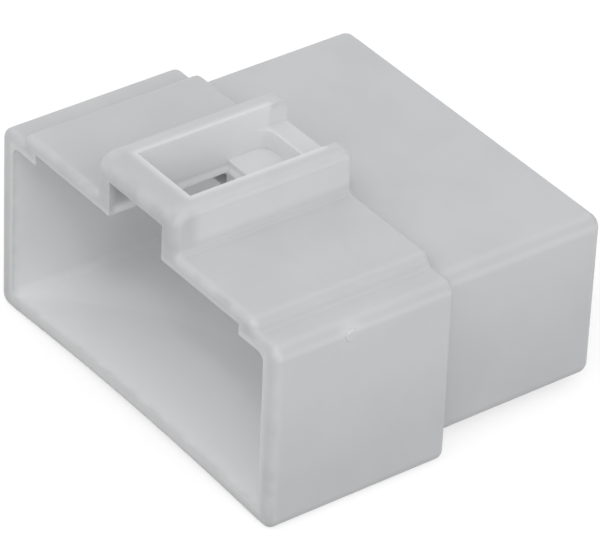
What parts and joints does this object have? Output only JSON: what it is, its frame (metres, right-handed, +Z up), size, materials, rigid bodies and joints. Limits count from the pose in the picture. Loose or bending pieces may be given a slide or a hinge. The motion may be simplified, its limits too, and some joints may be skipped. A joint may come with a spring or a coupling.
{
  "type": "connector housing",
  "caption": "Hooded moulded housing for blade terminals, with terminal cavities at the rear and a lock arch over the mating hood's mouth.",
  "frame": {"origin": "middle of the footprint, on the plane that the housing stands on", "axes": "+X across the width, +Y from the open mouth to the wire side, +Z up through the side with the lock arch"},
  "size_m": [0.0407, 0.0358, 0.0236],
  "materials": {
    "nylon": "natural milky nylon, satin"
  },
  "bodies": {
    "root": {"housing": "nylon"}
  },
  "joints": []
}
